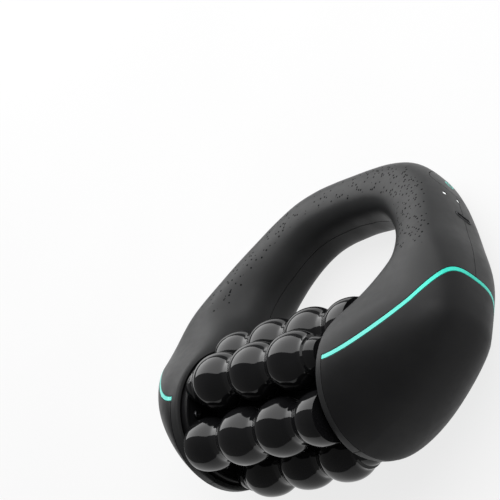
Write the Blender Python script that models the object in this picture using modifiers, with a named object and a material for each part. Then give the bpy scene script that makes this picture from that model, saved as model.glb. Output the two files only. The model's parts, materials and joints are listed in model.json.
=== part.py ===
"""Hand-held massage roller.

A ring-shaped handle ends in two domed cheeks. Between the cheeks a geared motor turns a drum
of six rollers made of beads, and each roller also turns freely on its own spindle.

The object is modelled upright: x across, y from front to back, z up from the drum's axis to
the arch. The empty resting_pose then lays it on its back, as it lies on a table.
"""
import math

import bmesh
import bpy
from mathutils import Matrix, Vector

MM = 0.001

# Cheeks
CHEEK_GAP_HALF = 46.0 * MM
RIM_RADIUS = 32.6 * MM
RIM_LAND = 4.5 * MM
RIM_WALL = 2.1 * MM
CHEEK_REACH = 96.7 * MM
CHEEK_WIDEST_HEIGHT = 18.4 * MM
END_PLATE_THICKNESS = 2.2 * MM
HUB_LENGTH = 2.8 * MM
HUB_WALL = 1.5 * MM

# Drum of beads, each size inward from the rim by a clearance
RECESS_CLEARANCE = 1.0 * MM
CARRIER_MARGIN = 4.14 * MM
BEAD_CLEARANCE = 0.2 * MM
CORE_CLEARANCE = 0.58 * MM
MOTOR_CLEARANCE = 0.9 * MM
GEARBOX_STEP = 0.3 * MM
ROW_COUNT = 6
BEAD_PITCH = 25.0 * MM
BEAD_HALF_WIDTH = 12.8 * MM
END_BEAD_STEP = 0.8 * MM
GROOVE_DEPTH = 3.8 * MM
COLLAR_STEP = 0.9 * MM
COLLAR_TAPER = 1.5 * MM
COLLAR_SLOPE = 0.3 * MM
ROLLER_HALF_LENGTH = 43.0 * MM
SPINDLE_RADIUS = 1.75 * MM
CORE_WALL = 1.3 * MM
CARRIER_THICKNESS = 4.2 * MM
CARRIER_RELIEF = 0.5 * MM
BEARING_WIDTH = 2.0 * MM
BEARING_WALL = 3.0 * MM

# Handle
FAN_HEIGHT = 50.0 * MM
OPENING_HALF_WIDTH = 46.0 * MM
LIMB_THICKNESS = 40.75 * MM
LIMB_HALF_DEPTH = 21.1 * MM
WALL = 2.6 * MM
HOLLOW_SET_BACK = 0.6 * MM

# Shape of the cheek's taper, of the sections and of the beads, as exponents and shares
CHEEK_TAPER_SHARES = (1.48, 1.16)
LIMB_DROP_SHARE = 1.5
DEPTH_FADE_SHARE = 4.6
LIMB_FLARE_SHARE = 0.12
INSIDE_FADE_SHARE = 4.0
INSIDE_RISE_SHARE = 1.53
DEEPEST_SHARE = 0.538
SECTION_SHARES = {"rim": 1.46, "cheek": 2.1, "arch": 2.7, "rim_inside": 8.0, "limb_inside": 1.93}
BEAD_FULL_SHARE = 2.2
FOOT_TURN = math.radians(1.15)

# Arch stations: angle as a share of the quarter turn, then the inner radius, the thickness and
# the half depth as shares of the opening's half width, the limb's thickness and half depth
ARCH_STATION_SHARES = (
    (0.0, 1.000, 1.000, 1.000),
    (0.125, 0.994, 0.822, 0.904),
    (0.25, 0.970, 0.752, 0.814),
    (0.375, 0.948, 0.728, 0.735),
    (0.5, 0.945, 0.702, 0.692),
    (0.625, 0.937, 0.676, 0.673),
    (0.75, 0.903, 0.643, 0.663),
    (0.875, 0.872, 0.608, 0.661),
    (1.0, 0.867, 0.584, 0.660),
)

# Light strip between the limb and the cheek cover
STRIP_TOP = 39.0 * MM
STRIP_SHOULDER = 15.3 * MM
STRIP_ROUNDING = 2.7 * MM
STRIP_FALL_SHARE = 2.8
STRIP_WIDTH = 1.7 * MM
STRIP_INSIDE_SHARE = 0.7
STRIP_OUTSIDE_SHARE = 1.4
LIGHT_BOARD_THICKNESS = 0.8 * MM
LIGHT_BOARD_WIDTH = 4.0 * MM
LIGHT_BOARD_REACH = 12.0 * MM

# Controls on the right shoulder
SHOULDER_ANGLE = math.radians(28.0)
SHOULDER_SPREAD = math.radians(10.0)
BUTTON_RADIUS = 9.7 * MM
BUTTON_OFFSET = 14.0 * MM
BUTTON_SKIRT = 6.4 * MM
BUTTON_FLANGE = 1.0 * MM
BUTTON_FLANGE_THICKNESS = 0.8 * MM
BUTTON_TRAVEL = 0.6 * MM
STEM_RADIUS = 1.5 * MM
SWITCH_WIDTH = 6.0 * MM
SWITCH_HEIGHT = 2.0 * MM
STATUS_RADIUS = 0.9 * MM
STATUS_SPACING = 7.5 * MM
STATUS_PLACES = {"front": -STATUS_SPACING, "middle": 0.0, "back": STATUS_SPACING}
BOARD_DEPTH = 11.0 * MM
BOARD_THICKNESS = 1.2 * MM
BOARD_LENGTH = 46.0 * MM
PORT_OFFSET = 12.8 * MM
SOCKET_WIDTH = 8.94 * MM
SOCKET_HEIGHT = 3.26 * MM
SOCKET_WALL = 0.3 * MM
SOCKET_SET_BACK = 0.5 * MM
SOCKET_CAVITY_DEPTH = 6.2 * MM
TONGUE_WIDTH = 6.69 * MM
TONGUE_THICKNESS = 0.7 * MM
TONGUE_SET_BACK = 0.9 * MM

# Inside the arch and the drum
CELL_RADIUS = 7.0 * MM
CELL_LENGTH = 50.0 * MM
SADDLE_INSET = 7.0 * MM
SADDLE_THICKNESS = 3.0 * MM
MOTOR_LENGTH = 42.0 * MM
GEARBOX_LENGTH = 24.0 * MM
SHAFT_RADIUS = 2.0 * MM
SHAFT_ENGAGEMENT = 5.0 * MM
COUPLER_THICKNESS = 6.0 * MM
COUPLER_STAND_OFF = 2.0 * MM

# Fits
GAP = 0.3 * MM
OVERRUN = 8.0 * MM
MERGE = 0.01 * MM

SHARP_ANGLE = math.radians(35.0)

# Counts
ROW_BEAD_COUNTS = (3, 4)
LEG_LEVEL_COUNT = 12
ARCH_STEP_COUNT = 8
OUTSIDE_COUNT = 28
INSIDE_COUNT = 14
ROUND_COUNT = 24
ROLLER_COUNT = 12
SMALL_COUNT = 10
BEAD_STEP_COUNT = 5
STRIP_STEP_COUNT = 20
SLOT_STEP_COUNT = 6
HALVING_COUNT = 30

# Places worked out from the sizes above
COVER_START = CHEEK_GAP_HALF + RIM_LAND
ROW_ANGLE = 2.0 * math.pi / ROW_COUNT
RECESS_RADIUS = RIM_RADIUS - RIM_WALL
CARRIER_RADIUS = RECESS_RADIUS - RECESS_CLEARANCE
ROW_RADIUS = CARRIER_RADIUS - CARRIER_MARGIN
BEAD_RADIUS = ROW_RADIUS * math.sin(ROW_ANGLE / 2.0) - BEAD_CLEARANCE / 2.0
END_BEAD_RADIUS = BEAD_RADIUS - END_BEAD_STEP
NECK_RADIUS = BEAD_RADIUS - GROOVE_DEPTH
COLLAR_RADIUS = NECK_RADIUS - COLLAR_STEP
COLLAR_END_RADIUS = COLLAR_RADIUS - COLLAR_TAPER
CORE_RADIUS = ROW_RADIUS - BEAD_RADIUS - CORE_CLEARANCE
MOTOR_RADIUS = CORE_RADIUS - CORE_WALL - MOTOR_CLEARANCE
GEARBOX_RADIUS = MOTOR_RADIUS - GEARBOX_STEP
CARRIER_START = ROLLER_HALF_LENGTH + CARRIER_RELIEF
CARRIER_END = CARRIER_START + CARRIER_THICKNESS
END_PLATE_START = COVER_START - END_PLATE_THICKNESS
HUB_START = END_PLATE_START - HUB_LENGTH
HUB_BORE = MOTOR_RADIUS + GAP
HUB_RADIUS = HUB_BORE + HUB_WALL
BEARING_BORE = HUB_RADIUS + GAP
BEARING_RADIUS = BEARING_BORE + BEARING_WALL
CARRIER_STEP = CARRIER_END - BEARING_WIDTH - GAP


# Scene and collections

def clear_scene():
    for item in list(bpy.data.objects):
        bpy.data.objects.remove(item, do_unlink=True)


def new_collection(name):
    collection = bpy.data.collections.new(name)
    bpy.context.scene.collection.children.link(collection)
    return collection


clear_scene()
PARTS = new_collection("massage_roller")
CUTTERS = new_collection("cutters")


def material(name, colour, roughness, metallic=0.0):
    made = bpy.data.materials.new(name)
    made.use_nodes = True
    shader = made.node_tree.nodes["Principled BSDF"]
    shader.inputs["Base Color"].default_value = (*colour, 1.0)
    shader.inputs["Roughness"].default_value = roughness
    shader.inputs["Metallic"].default_value = metallic
    return made


SATIN_CHARCOAL = material("satin_charcoal", (0.045, 0.046, 0.05), 0.45)
DARK_COVER = material("dark_cover", (0.03, 0.031, 0.034), 0.4)
GLOSS_BLACK = material("gloss_black", (0.008, 0.008, 0.009), 0.12)
CARRIER_BLACK = material("carrier_black", (0.02, 0.02, 0.022), 0.5)
TEAL_LIGHT = material("teal_light", (0.16, 0.83, 0.74), 0.3)
WHITE_LIGHT = material("white_light", (0.9, 0.9, 0.9), 0.3)
STEEL = material("steel", (0.6, 0.6, 0.62), 0.3, 1.0)
BOARD_GREEN = material("board_green", (0.02, 0.14, 0.06), 0.5)
CELL_BLUE = material("cell_blue", (0.05, 0.12, 0.4), 0.4)


# Poses that the pieces are placed by

UPRIGHT = bpy.data.objects.new("resting_pose", None)
PARTS.objects.link(UPRIGHT)
SHOULDER = bpy.data.objects.new("shoulder_controls", None)
PARTS.objects.link(SHOULDER)
SHOULDER.parent = UPRIGHT


def place(name, mesh, parent=UPRIGHT, finish=None, cutter=False):
    made = bpy.data.objects.new(name, mesh)
    made.parent = parent
    if cutter:
        CUTTERS.objects.link(made)
        made.hide_render = True
        made.display_type = "WIRE"
    else:
        PARTS.objects.link(made)
        made.data.materials.append(finish)
    return made


def boolean(target, cutter, operation="DIFFERENCE"):
    cut = target.modifiers.new(operation.lower() + "_" + cutter.name, "BOOLEAN")
    cut.object = cutter
    cut.operation = operation
    cut.solver = "EXACT"
    return cut


def mesh_from(name, build):
    cage = bmesh.new()
    build(cage)
    bmesh.ops.recalc_face_normals(cage, faces=cage.faces[:])
    mesh = bpy.data.meshes.new(name)
    cage.to_mesh(mesh)
    cage.free()
    return mesh


def box_mesh(name, low, high):
    size = [top - bottom for bottom, top in zip(low, high)]
    middle = [(top + bottom) / 2.0 for bottom, top in zip(low, high)]
    where = Matrix.Translation(middle) @ Matrix.Diagonal((*size, 1.0))
    return mesh_from(name, lambda cage: bmesh.ops.create_cube(cage, size=1.0, matrix=where))


def cylinder_mesh(name, radius, low, high, sides, along="z", centre=(0.0, 0.0)):
    """A cylinder from low to high along x or z, with its axis through centre."""
    middle = (low + high) / 2.0
    if along == "x":
        where = Matrix.Translation((middle, *centre)) @ Matrix.Rotation(math.pi / 2.0, 4, "Y")
    else:
        where = Matrix.Translation((*centre, middle))
    return mesh_from(name, lambda cage: bmesh.ops.create_cone(
        cage, cap_ends=True, segments=sides, radius1=radius, radius2=radius,
        depth=high - low, matrix=where))


def prism_mesh(name, outline, low, high, along="x"):
    """An outline of (y, z), (x, z) or (x, y) points, pulled straight from low to high."""
    def corner(point, at):
        row = list(point)
        row.insert("xyz".index(along), at)
        return row

    def build(cage):
        ends = [[cage.verts.new(corner(point, at)) for point in outline] for at in (low, high)]
        for end in ends:
            cage.faces.new(end)
        for here in range(len(outline)):
            nxt = (here + 1) % len(outline)
            cage.faces.new((ends[0][here], ends[0][nxt], ends[1][nxt], ends[1][here]))
    return mesh_from(name, build)


def turned(name, profile, sides, parent=UPRIGHT, finish=None, cutter=False):
    """A closed profile of (radius, place) points turned about the x axis."""
    mesh = bpy.data.meshes.new(name)
    points = [(radius, 0.0, place_along) for radius, place_along in profile]
    edges = [(here, here + 1) for here in range(len(points) - 1)]
    if min(radius for radius, _ in profile) > 0.0:
        edges.append((len(points) - 1, 0))
    mesh.from_pydata(points, edges, [])
    made = place(name, mesh, parent, finish, cutter)
    made.rotation_euler = (0.0, math.pi / 2.0, 0.0)
    screw = made.modifiers.new("turn", "SCREW")
    screw.steps = sides
    screw.render_steps = sides
    screw.use_merge_vertices = True
    screw.merge_threshold = MERGE
    return made


def clear_radius(radius, sides):
    """The corner radius of a faceted hole that clears a round pin by GAP all round."""
    return (radius + GAP) / math.cos(math.pi / sides)


# The outer form of the handle and cheeks, as sections along the ring

def between(start, end, share):
    return start + (end - start) * share


def limit(value, low=0.0, high=1.0):
    return min(max(value, low), high)


def ease(share):
    """A share that leaves 0 and reaches 1 without a kink."""
    held = limit(share)
    return held * held * (3.0 - 2.0 * held)


def smooth(t, before, low, high, after):
    """A value at t from low to high, on a curve that also heeds the values beside them."""
    bend = 2.0 * before - 5.0 * low + 4.0 * high - after
    twist = 3.0 * (low - high) + after - before
    return low + t * (high - before + t * (bend + t * twist)) / 2.0


def arch_station(share):
    """Inner radius, thickness and half depth on a smooth curve through the stations."""
    rows = [row[1:] for row in ARCH_STATION_SHARES]
    last = len(rows) - 1
    at = limit(share) * last
    here = min(int(at), last - 1)
    t = at - here
    low, high = rows[here], rows[here + 1]
    before = rows[here - 1] if here else [2.0 * a - b for a, b in zip(low, high)]
    after = rows[here + 2] if here + 2 <= last else low
    inner, thick, deep = (smooth(t, *points) for points in zip(before, low, high, after))
    return inner * OPENING_HALF_WIDTH, thick * LIMB_THICKNESS, deep * LIMB_HALF_DEPTH


def leg_reach(height, inset):
    """How far out the cheek and the lower limb reach at a height."""
    reach = CHEEK_REACH - inset
    if height < CHEEK_WIDEST_HEIGHT:
        share = (CHEEK_WIDEST_HEIGHT - height) / (CHEEK_WIDEST_HEIGHT + RIM_RADIUS - inset)
        inner_power, outer_power = CHEEK_TAPER_SHARES
        full = max(1.0 - share ** inner_power, 0.0) ** (1.0 / outer_power)
        return COVER_START + (reach - COVER_START) * full
    top = OPENING_HALF_WIDTH + LIMB_THICKNESS - inset
    share = (height - CHEEK_WIDEST_HEIGHT) / (FAN_HEIGHT - CHEEK_WIDEST_HEIGHT)
    return between(reach, top, share ** LIMB_DROP_SHARE)


def leg_half_depth(height, inset):
    if height <= 0.0:
        radius = RIM_RADIUS - inset
        return math.sqrt(max(radius * radius - height * height, MERGE * MERGE))
    share = height / FAN_HEIGHT
    flare = LIMB_FLARE_SHARE * (FAN_HEIGHT - height) * share * share
    fade = (1.0 - share * share) ** DEPTH_FADE_SHARE
    return between(LIMB_HALF_DEPTH, RIM_RADIUS, fade) + flare - inset


def rounded_section(inner, middle, outer, half_depth, inner_power, outer_power, sides):
    """Points of a section whose inner and outer halves are superellipses of unlike power.

    The hollows have fewer sides and start half a side round, so no corner lies on the seam.
    """
    first = 0.0 if sides == OUTSIDE_COUNT else 1.0 / 2.0
    points = []
    for side in range(sides):
        angle = 2.0 * math.pi * (side + first) / sides
        across, deep = math.cos(angle), math.sin(angle)
        power = outer_power if across > 0.0 else inner_power
        reach = outer - middle if across > 0.0 else middle - inner
        x = middle + math.copysign(abs(across) ** (2.0 / power), across) * reach
        points.append((x, math.copysign(abs(deep) ** (2.0 / power), deep) * half_depth))
    return points


def leg_measures(height, inset):
    """Inner edge, deepest line, outer edge, half depth, and inner and outer power at a height."""
    share = ease(height / FAN_HEIGHT)
    low = limit((CHEEK_WIDEST_HEIGHT - height) / (CHEEK_WIDEST_HEIGHT + RIM_RADIUS))
    inner = CHEEK_GAP_HALF
    if inset > 0.0:
        inner = between(COVER_START - HOLLOW_SET_BACK, CHEEK_GAP_HALF + inset,
                        limit(height / FAN_HEIGHT) ** INSIDE_FADE_SHARE)
    deepest = between(CHEEK_GAP_HALF, leg_reach(height, 0.0), DEEPEST_SHARE)
    middle = between(COVER_START, deepest, share)
    powers = SECTION_SHARES
    outer_power = between(between(powers["cheek"], powers["rim"], low), powers["arch"],
                          share * (1.0 - low))
    inner_power = between(powers["rim_inside"], powers["limb_inside"], share)
    return (inner, middle, leg_reach(height, inset), leg_half_depth(height, inset),
            inner_power, outer_power)


def leg_section(height, inset, sides):
    section = rounded_section(*leg_measures(height, inset), sides)
    return [(x, y, height) for x, y in section]


def arch_section(share, inset, sides):
    inner, thick, deep = arch_station(share)
    powers = SECTION_SHARES
    rise = ease(INSIDE_RISE_SHARE * share)
    inner_power = between(powers["limb_inside"], powers["arch"], rise)
    middle = inner + thick * between(DEEPEST_SHARE, 1.0 / 2.0, rise)
    section = rounded_section(inner + inset, middle, inner + thick - inset, deep - inset,
                              inner_power, powers["arch"], sides)
    fall = (1.0 - share) * math.pi / 2.0
    return [(radius * math.sin(fall), y, FAN_HEIGHT + radius * math.cos(fall))
            for radius, y in section]


def ring_sections(inset, sides):
    """All sections from the foot of the right cheek, over the arch, to the left foot."""
    foot = RIM_RADIUS - inset
    right = []
    for level in range(LEG_LEVEL_COUNT):
        turn = between(FOOT_TURN, math.pi / 2.0, level / LEG_LEVEL_COUNT)
        height = between(-foot, FAN_HEIGHT, 1.0 - math.cos(turn))
        right.append(leg_section(height, inset, sides))
    for step in range(ARCH_STEP_COUNT + 1):
        right.append(arch_section(step / ARCH_STEP_COUNT, inset, sides))
    left = [[(-x, y, z) for x, y, z in section] for section in reversed(right[:-1])]
    return right + left


def ring_mesh(name, inset, sides):
    """The sections joined by triangles, whose slants are mirrored from front to back."""
    sections = ring_sections(inset, sides)
    crown = len(sections) // 2

    def build(cage):
        rings = [[cage.verts.new(point) for point in section] for section in sections]
        for ring in (rings[0], rings[-1]):
            cage.faces.new(ring)
        for level, (low, high) in enumerate(zip(rings, rings[1:])):
            for here in range(sides):
                nxt = (here + 1) % sides
                if (here < sides // 2) == (level < crown):
                    cage.faces.new((low[here], low[nxt], high[nxt]))
                    cage.faces.new((low[here], high[nxt], high[here]))
                else:
                    cage.faces.new((low[here], low[nxt], high[here]))
                    cage.faces.new((low[nxt], high[nxt], high[here]))
    return mesh_from(name, build)


OUTER_FORM = place("outer_form", ring_mesh("outer_form", 0.0, OUTSIDE_COUNT), cutter=True)
HOLLOW_FORM = place("hollow_form", ring_mesh("hollow_form", WALL, INSIDE_COUNT), cutter=True)
FITTED_FORM = place("fitted_form", ring_mesh("fitted_form", WALL + GAP, INSIDE_COUNT), cutter=True)
BEHIND_BOARD_FORM = place(
    "behind_board_form",
    ring_mesh("behind_board_form", WALL + GAP + LIGHT_BOARD_THICKNESS, INSIDE_COUNT), cutter=True)


# The light strip's line runs over the cheek; everything beside it is cut along rays that leave
# the cheek's middle, so that its walls stand nearly square to the dome

def strip_height(y):
    """Height of the strip's middle line: level over the top, then falling straight."""
    fall = math.log1p(math.exp((abs(y) - STRIP_SHOULDER) / STRIP_ROUNDING))
    return STRIP_TOP - STRIP_FALL_SHARE * STRIP_ROUNDING * fall


def strip_end():
    """How far from the seam the strip's line meets the rim's land."""
    low, high = 0.0, RIM_RADIUS
    for _ in range(HALVING_COUNT):
        middle = (low + high) / 2.0
        if middle < leg_half_depth(strip_height(middle), 0.0):
            low = middle
        else:
            high = middle
    return low


def strip_point(y, start):
    height = strip_height(y)
    _, middle, outer, half_depth, _, power = leg_measures(height, 0.0)
    left = max(1.0 - (abs(y) / half_depth) ** power, 0.0)
    return Vector((max(middle + (outer - middle) * left ** (1.0 / power), start), y, height))


def strip_rays(start, offset, reach):
    """Rays from the middle of a cheek's plane to the strip's line, moved off it by offset.

    A ray that ends on the plane stays in it, so the cut is closed there.
    """
    heart = Vector((start, 0.0, 0.0))
    turns = [math.pi * (step / STRIP_STEP_COUNT - 1.0 / 2.0) for step in range(STRIP_STEP_COUNT + 1)]
    points = [strip_point(reach * math.sin(turn), start) - heart for turn in turns]
    rays = []
    for here, point in enumerate(points):
        along = points[min(here + 1, STRIP_STEP_COUNT)] - points[max(here - 1, 0)]
        ray = point + point.cross(along).normalized() * offset
        if point.x == 0.0:
            ray.x = 0.0
        rays.append(ray)
    return rays


def cheek_zone_mesh(name, start, offset):
    """The side of a cheek below the strip's line, as a cone of rays outward from start."""
    rays = strip_rays(start, offset, strip_end())
    far = CHEEK_REACH + OVERRUN
    rim = [ray * STRIP_OUTSIDE_SHARE for ray in rays]
    rim += [Vector((0.0, side * far / 2.0, -far)) for side in (1.0, -1.0)]
    heart = Vector((start, 0.0, 0.0))
    outside = Vector((far, 0.0, -far))

    def build(cage):
        top, foot = cage.verts.new(heart), cage.verts.new(heart + outside)
        ring = [cage.verts.new(heart + ray) for ray in rim]
        for here in range(len(ring)):
            nxt = (here + 1) % len(ring)
            cage.faces.new((top, ring[here], ring[nxt]))
            cage.faces.new((foot, ring[nxt], ring[here]))
    return mesh_from(name, build)


def strip_band_mesh(name, start, width, reach):
    """A band along the strip's line, through the wall, as wide as asked."""
    heart = Vector((start, 0.0, 0.0))
    edges = [strip_rays(start, side * width / 2.0, reach) for side in (1.0, -1.0)]

    def build(cage):
        rows = []
        for above, below in zip(*edges):
            corners = (above * STRIP_INSIDE_SHARE, above * STRIP_OUTSIDE_SHARE,
                       below * STRIP_OUTSIDE_SHARE, below * STRIP_INSIDE_SHARE)
            rows.append([cage.verts.new(heart + corner) for corner in corners])
        for low, high in zip(rows, rows[1:]):
            for here in range(len(low)):
                nxt = (here + 1) % len(low)
                cage.faces.new((low[here], low[nxt], high[nxt], high[here]))
        for end in (rows[0], rows[-1]):
            cage.faces.new(end)
    return mesh_from(name, build)


def on_cheek(name, mesh, side, **options):
    """A piece made for the right cheek, or its mirror image for the left."""
    if side < 0.0:
        mesh.transform(Matrix.Scale(-1.0, 4, (1.0, 0.0, 0.0)))
        mesh.flip_normals()
    return place(name, mesh, **options)


# Shoulder controls share one axis, square to the shoulder

def outer_point(angle):
    inner, thick, _ = arch_station(angle / (math.pi / 2.0))
    radius = inner + thick
    return Vector((radius * math.cos(angle), 0.0, FAN_HEIGHT + radius * math.sin(angle)))


def set_shoulder():
    along = outer_point(SHOULDER_ANGLE - SHOULDER_SPREAD) - outer_point(SHOULDER_ANGLE + SHOULDER_SPREAD)
    SHOULDER.location = outer_point(SHOULDER_ANGLE)
    SHOULDER.rotation_euler = (0.0, math.atan2(-along.z, along.x), 0.0)


def port_outline(width, height):
    """Outline of the charging slot, width long in y and height wide in x, with round ends."""
    radius = height / 2.0
    straight = width / 2.0 - radius
    points = []
    for end in (1.0, -1.0):
        for step in range(SLOT_STEP_COUNT + 1):
            angle = math.pi * step / SLOT_STEP_COUNT
            points.append((PORT_OFFSET + end * radius * math.cos(angle),
                           end * (straight + radius * math.sin(angle))))
    return points


# Shells, covers and strips

def make_opening_cutters():
    cutters = [place("recess", cylinder_mesh("recess", RECESS_RADIUS, -COVER_START - GAP,
                                             COVER_START + GAP, ROUND_COUNT, "x"), cutter=True)]
    for side, word in ((1.0, "right"), (-1.0, "left")):
        name = word + "_cover_zone"
        mesh = cheek_zone_mesh(name, COVER_START, STRIP_WIDTH / 2.0 + GAP)
        cutters.append(on_cheek(name, mesh, side, cutter=True))
    deep = -BOARD_DEPTH
    cutters.append(place("button_hole", cylinder_mesh(
        "button_hole", clear_radius(BUTTON_RADIUS, ROUND_COUNT), deep, OVERRUN, ROUND_COUNT,
        centre=(-BUTTON_OFFSET, 0.0)), SHOULDER, cutter=True))
    for word, across in STATUS_PLACES.items():
        cutters.append(place("status_hole_" + word, cylinder_mesh(
            "status_hole_" + word, clear_radius(STATUS_RADIUS, SMALL_COUNT), deep, OVERRUN,
            SMALL_COUNT, centre=(0.0, across)), SHOULDER, cutter=True))
    slot = port_outline(SOCKET_WIDTH + 2.0 * GAP, SOCKET_HEIGHT + 2.0 * GAP)
    cutters.append(place("port_hole", prism_mesh("port_hole", slot, deep, OVERRUN, "z"),
                         SHOULDER, cutter=True))
    return cutters


def make_shells(cutters):
    reach = CHEEK_REACH + OVERRUN
    tall = FAN_HEIGHT + OPENING_HALF_WIDTH + LIMB_THICKNESS
    for side, name in ((-1.0, "front_shell"), (1.0, "back_shell")):
        near, far = side * GAP / 2.0, side * (RIM_RADIUS + OVERRUN)
        low = (-reach, min(near, far), -RIM_RADIUS - OVERRUN)
        high = (reach, max(near, far), tall)
        shell = place(name, box_mesh(name, low, high), finish=SATIN_CHARCOAL)
        boolean(shell, OUTER_FORM, "INTERSECT")
        boolean(shell, HOLLOW_FORM)
        for cutter in cutters:
            boolean(shell, cutter)


def make_cheeks():
    start = COVER_START + GAP
    for side, word in ((1.0, "right"), (-1.0, "left")):
        name = word + "_cheek_cover"
        mesh = cheek_zone_mesh(name, start, -STRIP_WIDTH / 2.0 - GAP)
        cover = on_cheek(name, mesh, side, finish=DARK_COVER)
        name = word + "_light_strip"
        mesh = strip_band_mesh(name, start, STRIP_WIDTH, strip_end())
        strip = on_cheek(name, mesh, side, finish=TEAL_LIGHT)
        for skin in (cover, strip):
            boolean(skin, OUTER_FORM, "INTERSECT")
            boolean(skin, HOLLOW_FORM)
        name = word + "_light_board"
        mesh = strip_band_mesh(name, start, LIGHT_BOARD_WIDTH, LIGHT_BOARD_REACH)
        board = on_cheek(name, mesh, side, finish=BOARD_GREEN)
        boolean(board, FITTED_FORM, "INTERSECT")
        boolean(board, BEHIND_BOARD_FORM)


# Controls, board and charging socket

def make_controls():
    skirt_end = -BUTTON_SKIRT
    button = place("power_button", cylinder_mesh(
        "power_button", BUTTON_RADIUS, skirt_end, OVERRUN, ROUND_COUNT,
        centre=(-BUTTON_OFFSET, 0.0)), SHOULDER, SATIN_CHARCOAL)
    boolean(button, OUTER_FORM, "INTERSECT")
    flange_end = skirt_end - BUTTON_FLANGE_THICKNESS
    flange = place("button_flange", cylinder_mesh(
        "button_flange", BUTTON_RADIUS + BUTTON_FLANGE, flange_end, skirt_end + MERGE,
        ROUND_COUNT, centre=(-BUTTON_OFFSET, 0.0)), SHOULDER, cutter=True)
    boolean(flange, FITTED_FORM, "INTERSECT")
    boolean(button, flange, "UNION")
    switch_top = -BOARD_DEPTH + GAP + SWITCH_HEIGHT
    stem = place("button_stem", cylinder_mesh(
        "button_stem", STEM_RADIUS, switch_top + GAP + BUTTON_TRAVEL, flange_end + MERGE,
        SMALL_COUNT, centre=(-BUTTON_OFFSET, 0.0)), SHOULDER, cutter=True)
    boolean(button, stem, "UNION")

    half = SWITCH_WIDTH / 2.0
    place("button_switch", box_mesh("button_switch", (-BUTTON_OFFSET - half, -half, -BOARD_DEPTH + GAP),
                                    (-BUTTON_OFFSET + half, half, switch_top)), SHOULDER, GLOSS_BLACK)

    deep = RIM_RADIUS
    board = place("control_board", box_mesh(
        "control_board", (-BOARD_LENGTH / 2.0, -deep, -BOARD_DEPTH - BOARD_THICKNESS),
        (BOARD_LENGTH / 2.0, deep, -BOARD_DEPTH)), SHOULDER, BOARD_GREEN)
    boolean(board, FITTED_FORM, "INTERSECT")

    for word, across in STATUS_PLACES.items():
        light = place("status_light_" + word, cylinder_mesh(
            "status_light_" + word, STATUS_RADIUS, -BOARD_DEPTH + GAP, OVERRUN, SMALL_COUNT,
            centre=(0.0, across)), SHOULDER, WHITE_LIGHT)
        boolean(light, OUTER_FORM, "INTERSECT")


def make_socket():
    mouth, foot = -SOCKET_SET_BACK, -BOARD_DEPTH + GAP
    floor = mouth - SOCKET_CAVITY_DEPTH
    socket = place("charging_socket", prism_mesh(
        "charging_socket", port_outline(SOCKET_WIDTH, SOCKET_HEIGHT), foot, mouth, "z"), SHOULDER, STEEL)
    inside = port_outline(SOCKET_WIDTH - 2.0 * SOCKET_WALL, SOCKET_HEIGHT - 2.0 * SOCKET_WALL)
    cavity = place("socket_cavity", prism_mesh("socket_cavity", inside, floor, mouth + OVERRUN, "z"),
                   SHOULDER, cutter=True)
    boolean(socket, cavity)
    half_width, half_thick = TONGUE_WIDTH / 2.0, TONGUE_THICKNESS / 2.0
    place("charging_tongue", box_mesh(
        "charging_tongue", (PORT_OFFSET - half_thick, -half_width, floor + GAP),
        (PORT_OFFSET + half_thick, half_width, mouth - TONGUE_SET_BACK)), SHOULDER, GLOSS_BLACK)


# Battery in the arch

def make_battery():
    inner, thick, _ = arch_station(1.0)
    height = FAN_HEIGHT + inner + thick / 2.0
    place("battery_cell", cylinder_mesh("battery_cell", CELL_RADIUS, -CELL_LENGTH / 2.0,
                                        CELL_LENGTH / 2.0, ROUND_COUNT, "x", (0.0, height)),
          finish=CELL_BLUE)
    bore = place("cell_bore", cylinder_mesh(
        "cell_bore", clear_radius(CELL_RADIUS, ROUND_COUNT), -CELL_LENGTH, CELL_LENGTH,
        ROUND_COUNT, "x", (0.0, height)), cutter=True)
    for side, word in ((1.0, "right"), (-1.0, "left")):
        middle = side * (CELL_LENGTH / 2.0 - SADDLE_INSET)
        name = "battery_saddle_" + word
        low = (middle - SADDLE_THICKNESS / 2.0, -LIMB_HALF_DEPTH, FAN_HEIGHT)
        high = (middle + SADDLE_THICKNESS / 2.0, LIMB_HALF_DEPTH, height + thick)
        saddle = place(name, box_mesh(name, low, high), finish=CARRIER_BLACK)
        boolean(saddle, FITTED_FORM, "INTERSECT")
        boolean(saddle, bore)


# End plates, motor and drum

def ring_profile(outer, inner, low, high):
    return [(outer, high), (outer, low), (inner, low), (inner, high)]


def flip(profile, side):
    """The profile as it is on the right, or mirrored for the left with its order kept."""
    if side > 0.0:
        return profile
    return [(radius, -at) for radius, at in reversed(profile)]


def make_end_plates():
    rim = RECESS_RADIUS * math.cos(math.pi / ROUND_COUNT) - GAP
    profile = [(rim, COVER_START), (rim, END_PLATE_START), (HUB_RADIUS, END_PLATE_START),
               (HUB_RADIUS, HUB_START), (HUB_BORE / math.cos(math.pi / ROUND_COUNT), HUB_START),
               (HUB_BORE / math.cos(math.pi / ROUND_COUNT), COVER_START)]
    for side, word in ((1.0, "right"), (-1.0, "left")):
        turned(word + "_end_plate", flip(profile, side), ROUND_COUNT, finish=CARRIER_BLACK)


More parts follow.
